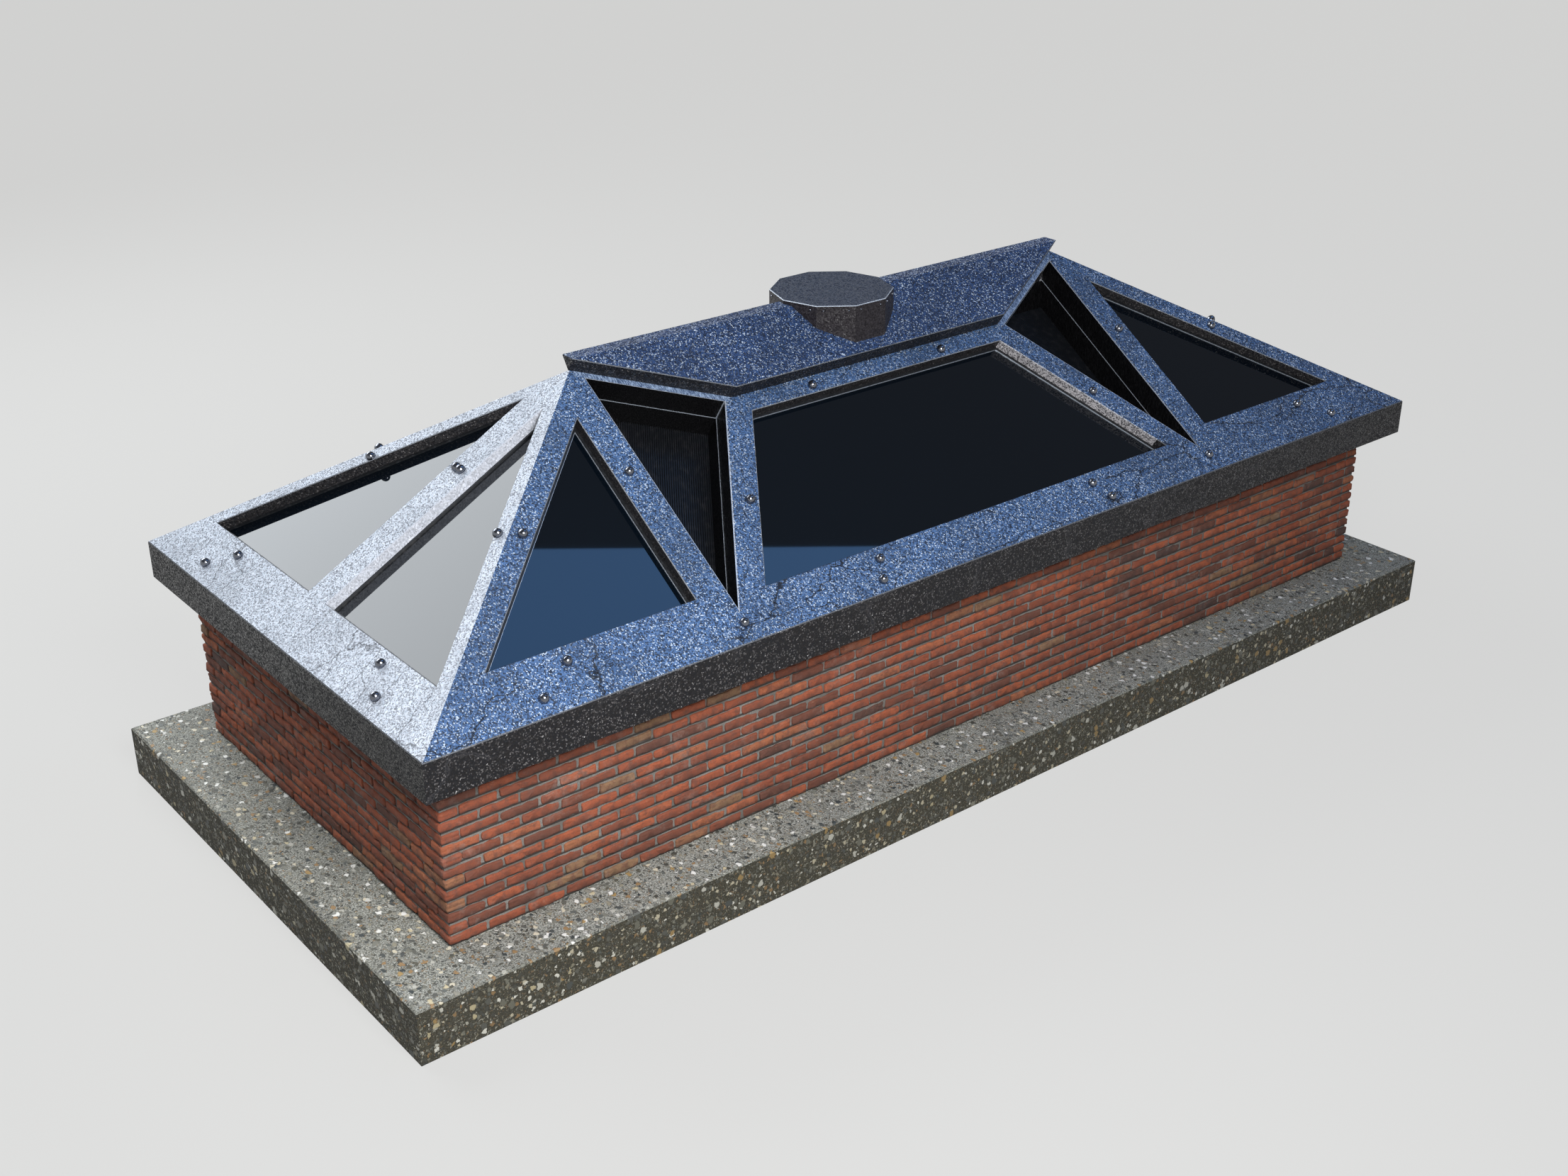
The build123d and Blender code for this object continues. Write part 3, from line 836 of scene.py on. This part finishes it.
lip_width = 0.0020
lip_height = 0.005
panes = [(f"{quarter}_side", side_pane_corners, side_frame, quarter) for quarter in quarters]
panes += [("front_main", main_pane_corners, side_frame, "front_left")]
panes += [("back_main", main_pane_corners, side_frame, "back_left")]
panes += [
    ("left_end_front", end_pane_corners, end_frame, "front_left"),
    ("left_end_back", end_pane_corners, end_frame, "back_left"),
    ("right_end_front", end_pane_corners, end_frame, "front_right"),
    ("right_end_back", end_pane_corners, end_frame, "back_right"),
]
for pane_name, corners, slope_frame, quarter in panes:
    on_right, on_back = quarter.endswith("right"), quarter.startswith("back")
    bead = polygon_ring(corners, bead_width, -glass_depth, -glass_depth + bead_height)
    set_on_slope(bead, slope_frame, on_right, on_back)
    add_piece(f"{pane_name}_bead", bead, rubber)
    if "end" in pane_name:
        continue
    # Painted highlight: a pale strip on the bead's inner edge of the side and main panes.
    lip = polygon_ring(
        inset_corners(corners, bead_width), lip_width, -glass_depth, -glass_depth + lip_height
    )
    set_on_slope(lip, slope_frame, on_right, on_back)
    add_piece(f"{pane_name}_bead_lip", lip, bright_trim)

# Bays. Each is lined with folded dark sheet metal in two lifts: a collar against the
# rafter, the brace and the deck, and under a bright seam the tray with its ribbed floor. The
# bright seam is a pale strip put in as a painted highlight.
dark_sheet, tree, shader = new_material("dark_sheet_metal", (0.012, 0.011, 0.012), 0.35, 0.6)
brush_marks = noise_share(tree, object_place(tree, (9.0, 9.0, 1.6)), 22.0, 6.0, 0.8, 0.4)
sheet_color = blend_colors(
    tree, fade(tree, brush_marks, 0.48, 0.74, 0.0, 0.8), (0.007, 0.007, 0.008, 1),
    (0.055, 0.054, 0.058, 1),
)
# Painted highlight: the lining's upward faces are painted near-white.
ledge_highlight = (0.62, 0.64, 0.68, 1)
sheet_color = blend_colors(
    tree, fade(tree, upward_share(tree), 0.6, 0.8), sheet_color, ledge_highlight
)
tree.links.new(sheet_color, shader["Base Color"])
tree.links.new(fade(tree, brush_marks, 0.3, 0.7, 0.20, 0.42), shader["Roughness"])
tree.links.new(bump_normal(tree, brush_marks, 0.0015, 0.5), shader["Normal"])
dress([f"{quarter}_bay_lining" for quarter in quarters], dark_sheet)

ribbed_sheet, tree, shader = new_material("ribbed_sheet", (0.006, 0.007, 0.009), 0.34)
rib_dust = noise_share(tree, object_place(tree), 30.0, 5.0)
tree.links.new(
    blend_colors(
        tree, fade(tree, rib_dust, 0.45, 0.75, 0.0, 0.4), (0.006, 0.007, 0.009, 1),
        (0.030, 0.030, 0.032, 1),
    ),
    shader["Base Color"],
)
shader["Specular IOR Level"].default_value = 0.25
dress([f"{quarter}_bay_floor" for quarter in quarters], ribbed_sheet)

rafter_inner = 1.7375
plate_tip = 1.8
plate_corner = 1.003
plate_depth = 0.425
brace_width = 0.153
bay_head_margin = 0.032
plate_lean = plate_depth / (plate_tip - plate_corner)
brace_span = brace_width * math.hypot(1, brace_lean)
head_span = bay_head_margin * math.hypot(1, plate_lean)
brace_at_ridge = head_half_length - head_distance * brace_lean + brace_span
bay_head_at_rafter = (plate_tip - rafter_inner) * plate_lean + head_span
bay_head_at_brace = (
    (plate_tip - brace_at_ridge) * plate_lean + head_span
) / (1 + brace_lean * plate_lean)
bay_foot = head_distance + (rafter_inner - head_half_length - brace_span) / brace_lean
bay_corners = [
    (-rafter_inner, -bay_head_at_rafter),
    (-(brace_at_ridge + bay_head_at_brace * brace_lean), -bay_head_at_brace),
    (-rafter_inner, -bay_foot),
]
collar_depth = 0.145
collar_drop = 0.003
collar_sheet = 0.0025
seam_width = 0.0045
seam_height = 0.003
seam_overlap = 0.001
corner_strip = 0.005
strip_drop = 0.004
flashing_lift = 0.0015
ridge_gap = 0.012
flashing, tree, shader = new_material("brushed_flashing", (0.20, 0.30, 0.46), 0.38, 0.2)
streak_place = object_place(tree, (30.0, 7.0, 7.0))
flashing_color = blend_colors(
    tree, fade(tree, noise_share(tree, streak_place, 6.0, 4.0, 0.7), 0.42, 0.62),
    (0.05, 0.09, 0.19, 1), (0.42, 0.55, 0.76, 1),
)
tree.links.new(flashing_color, shader["Base Color"])


def bay_piece(quarter, part, shape, material):
    """Sets a shape drawn on the front left bay in its quarter, cut off at the ridge."""
    outward = 1 if quarter.startswith("back") else -1
    set_on_slope(shape, side_frame, quarter.endswith("right"), quarter.startswith("back"))
    bmesh.ops.bisect_plane(
        shape, geom=shape.verts[:] + shape.edges[:] + shape.faces[:],
        plane_co=(0, outward * ridge_gap, 0), plane_no=(0, -outward, 0), clear_outer=True,
    )
    add_piece(f"{quarter}_bay_{part}", shape, material)


plate_edge_ends = [(-plate_tip, 0.0), (-plate_corner, -plate_depth)]
bay_edge_ends = [bay_corners[1], bay_corners[0]]
for quarter in quarters:
    collar = polygon_ring(bay_corners, collar_sheet, -collar_depth, -collar_drop)
    bay_piece(quarter, "collar", collar, dark_sheet)
    # Painted highlight: a pale strip round the step between the collar and the tray.
    seam = polygon_ring(
        bay_corners, seam_width, -collar_depth - seam_overlap, -collar_depth + seam_height
    )
    bay_piece(quarter, "seam", seam, bright_trim)
    strips = bmesh.new()
    inner_corners = inset_corners(bay_corners, collar_sheet)
    for index, corner in enumerate(inner_corners):
        toward = [
            corner + (inner_corners[neighbour] - corner).normalized() * corner_strip
            for neighbour in (index - 1, (index + 1) % 3)
        ]
        foot = [
            strips.verts.new((point.x, point.y, -collar_depth)) for point in (corner, *toward)
        ]
        raise_faces(strips, [strips.faces.new(foot)], collar_depth - strip_drop)
    bmesh.ops.recalc_face_normals(strips, faces=strips.faces)
    bay_piece(quarter, "corner_strips", strips, bright_trim)
    cover = bmesh.new()
    cover.faces.new(
        [cover.verts.new((x, y, flashing_lift)) for x, y in plate_edge_ends + bay_edge_ends]
    )
    raise_faces(cover, cover.faces[:], -2 * flashing_lift)
    bmesh.ops.recalc_face_normals(cover, faces=cover.faces)
    bay_piece(quarter, "head_flashing", cover, flashing)

# Ridge plates and cowl. Two thick sheet-metal plates meet under a flat along the ridge,
# with the same granules on top and bare brushed edges, and carry the ten-sided cowl.
plate_blue = (0.038, 0.079, 0.200)
plate_edge = (0.006, 0.006, 0.008)
plate_coating = granular_coating(
    "plate_coating", plate_blue, plate_blue, plate_edge, brushed=True, arris_highlight=0.25
)
dress(["front_ridge_plate", "back_ridge_plate"], plate_coating)

cowl_coating, tree, shader = new_material("cowl_coating", (0.055, 0.066, 0.090), 0.45)
shader["Specular IOR Level"].default_value = 0.3
cowl_upward = upward_share(tree)
cowl_granules = use_group(
    tree, mineral_granules, {"Vector": object_place(tree), "Scale": 150.0, "Tilt": 0.5}
)
cowl_tone = fade(tree, cowl_granules["Tone"], 0.1, 0.9)
cowl_side = blend_colors(tree, cowl_tone, (0.008, 0.006, 0.008, 1), (0.031, 0.027, 0.031, 1))
cowl_top = blend_colors(tree, cowl_tone, (0.015, 0.022, 0.041, 1), (0.034, 0.048, 0.080, 1))
cowl_color = blend_colors(tree, fade(tree, cowl_upward, 0.85, 0.95), cowl_side, cowl_top)
# Painted highlight: the chamfer round the cowl's top is painted pale.
cowl_rim_highlight = calculate(
    tree, "MULTIPLY", fade(tree, cowl_upward, 0.5, 0.6), fade(tree, cowl_upward, 0.9, 0.8)
)
cowl_color = blend_colors(tree, cowl_rim_highlight, cowl_color, (0.42, 0.46, 0.52, 1))
tree.links.new(cowl_color, shader["Base Color"])
tree.links.new(cowl_granules["Normal"], shader["Normal"])
dress(["ridge_cowl"], cowl_coating)

# Bolts. Polished domed caps hold the skin down at the joints of the frame, and small
# rivets fix the cowl's rim near the top of each facet.
cap_radius = 0.027
cap_height = 0.030
cap_collar = 0.006
cap_lift = 0.005
polished_steel, tree, shader = new_material("polished_steel", (0.20, 0.21, 0.24), 0.18, 1.0)
cap_smudge = noise_share(tree, object_place(tree), 90.0, 3.0)
tree.links.new(fade(tree, cap_smudge, 0.35, 0.7, 0.12, 0.3), shader["Roughness"])

# Places along the eave and down the slope. Each cap has a twin on the other half.
side_slope_caps = [
    (2.559, 0.860), (1.836, 0.693), (1.294, 1.055), (1.757, 1.699), (0.486, 0.490),
    (0.809, 1.620), (0.870, 1.737), (2.720, 1.577), (2.927, 1.716),
]
end_slope_caps = [(0.644, 0.980), (0.020, 0.790), (0.775, 1.827), (0.934, 1.963)]


def domed_cap(shape, x, distance):
    """Adds one cap to a slope's caps: a dome on a short collar, closed under its rim."""
    fresh = bmesh.ops.create_uvsphere(
        shape, u_segments=20, v_segments=12, radius=cap_radius
    )["verts"]
    for vertex in fresh:
        if vertex.co.z < 0:
            vertex.co.z = max(vertex.co.z, -cap_collar)
        else:
            vertex.co.z *= cap_height / cap_radius
    bmesh.ops.translate(shape, verts=fresh, vec=(x, -distance, cap_lift))


for side, slope_frame, caps in (
    ("front", side_frame, side_slope_caps), ("back", side_frame, side_slope_caps),
    ("left", end_frame, end_slope_caps), ("right", end_frame, end_slope_caps),
):
    side_caps = bmesh.new()
    for x, distance in caps:
        domed_cap(side_caps, x, distance)
        domed_cap(side_caps, -x, distance)
    set_on_slope(side_caps, slope_frame, side == "right", side == "back")
    add_piece(f"{side}_domed_caps", side_caps, polished_steel, smooth=True)

cowl_radius = 0.358
cowl_sides = 10
facet_angle = 360 / cowl_sides
facet_distance = cowl_radius * math.cos(math.radians(facet_angle / 2))
rivet_radius = 0.006
rivet_offset = 0.072
rivet_drop = 0.028
rivet_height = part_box("ridge_cowl")[1][2] - rivet_drop
cowl_rivets = bmesh.new()
for facet in range(cowl_sides):
    facet_turn = Matrix.Rotation(math.radians(facet_angle * (facet + 0.5)), 4, "Z")
    for offset in (-rivet_offset, rivet_offset):
        rivet = bmesh.ops.create_uvsphere(
            cowl_rivets, u_segments=10, v_segments=6, radius=rivet_radius
        )["verts"]
        bmesh.ops.translate(
            cowl_rivets, verts=rivet, vec=(facet_distance, offset, rivet_height)
        )
        bmesh.ops.transform(cowl_rivets, matrix=facet_turn, verts=rivet)
add_piece("cowl_rivets", cowl_rivets, polished_steel, smooth=True)

# Floor and light. A plain pale floor runs to a far pale backdrop. A broad soft light
# stands behind the object, a smaller one before its left end, and a faint blue one over
# its right end, in an even grey surround.
floor_half_length = 80
floor_drop = 0.001
floor_builder = bmesh.new()
bmesh.ops.create_grid(floor_builder, x_segments=1, y_segments=1, size=floor_half_length)
floor_mesh = bpy.data.meshes.new("floor")
floor_builder.to_mesh(floor_mesh)
floor_builder.free()
floor = bpy.data.objects.new("floor", floor_mesh)
floor.location.z = -floor_drop
pale_floor, tree, shader = new_material("pale_floor", (0.36, 0.36, 0.35), 0.9)
seen = add_node(tree, "ShaderNodeLightPath").outputs
seen_at_all = calculate(
    tree, "MAXIMUM", seen["Is Camera Ray"],
    calculate(tree, "MAXIMUM", seen["Is Glossy Ray"], seen["Is Transmission Ray"]),
)
pale_glow = add_node(tree, "ShaderNodeEmission", {"Color": (0.80, 0.80, 0.79, 1)}).outputs[0]
glow_share = calculate(tree, "MULTIPLY", seen_at_all, 0.78)
lit_floor = tree.nodes["Principled BSDF"].outputs[0]
floor_mix = add_node(tree, "ShaderNodeMixShader", {0: glow_share, 1: lit_floor, 2: pale_glow})
tree.links.new(floor_mix.outputs[0], tree.nodes["Material Output"].inputs["Surface"])
floor_mesh.materials.append(pale_floor)
bpy.context.scene.collection.objects.link(floor)

backdrop_radius = 70
backdrop_height = 26
backdrop_builder = bmesh.new()
bmesh.ops.create_cone(
    backdrop_builder, segments=96, radius1=backdrop_radius, radius2=backdrop_radius,
    depth=backdrop_height,
)
bmesh.ops.translate(
    backdrop_builder, verts=backdrop_builder.verts,
    vec=(0, 0, backdrop_height / 2 - floor_drop),
)
backdrop_mesh = bpy.data.meshes.new("backdrop")
backdrop_builder.to_mesh(backdrop_mesh)
backdrop_builder.free()
backdrop_mesh.materials.append(pale_floor)
backdrop = bpy.data.objects.new("backdrop", backdrop_mesh)
backdrop.visible_diffuse = False
backdrop.visible_shadow = False
bpy.context.scene.collection.objects.link(backdrop)


def soft_light(name, position, target, size, power, color=(1, 1, 1)):
    """A rectangular lamp aimed at a point."""
    lamp_data = bpy.data.lights.new(name, "AREA")
    lamp_data.color = color
    lamp_data.shape = "RECTANGLE"
    lamp_data.size, lamp_data.size_y = size
    lamp_data.energy = power
    lamp = bpy.data.objects.new(name, lamp_data)
    lamp.location = position
    aim = Vector(target) - Vector(position)
    lamp.rotation_euler = aim.to_track_quat("-Z", "Y").to_euler()
    bpy.context.scene.collection.objects.link(lamp)
    return lamp


cool_white = (0.91, 0.96, 1.0)
sky_blue = (0.19, 0.46, 1.0)
soft_light("back_soft_light", (-4.0, 9.5, 8.6), (-2.6, 0, 1.9), (11, 7), 1600, cool_white)
soft_light("front_soft_light", (-4.0, -6.2, 5.6), (-2.6, 0, 1.0), (3.0, 2.6), 660)
sky_light = soft_light(
    "sky_soft_light", (5.69, -3.53, 12.0), (5.69, -3.53, 0), (9, 2.4), 195, sky_blue
)
sky_light.rotation_euler = (0, 0, math.radians(-14.9))

world = bpy.data.worlds.new("surround")
world.use_nodes = True
background = world.node_tree.nodes["Background"].inputs
background["Color"].default_value = (0.135, 0.142, 0.160, 1)
background["Strength"].default_value = 1.0
bpy.context.scene.world = world
bpy.context.scene.view_settings.view_transform = "Standard"
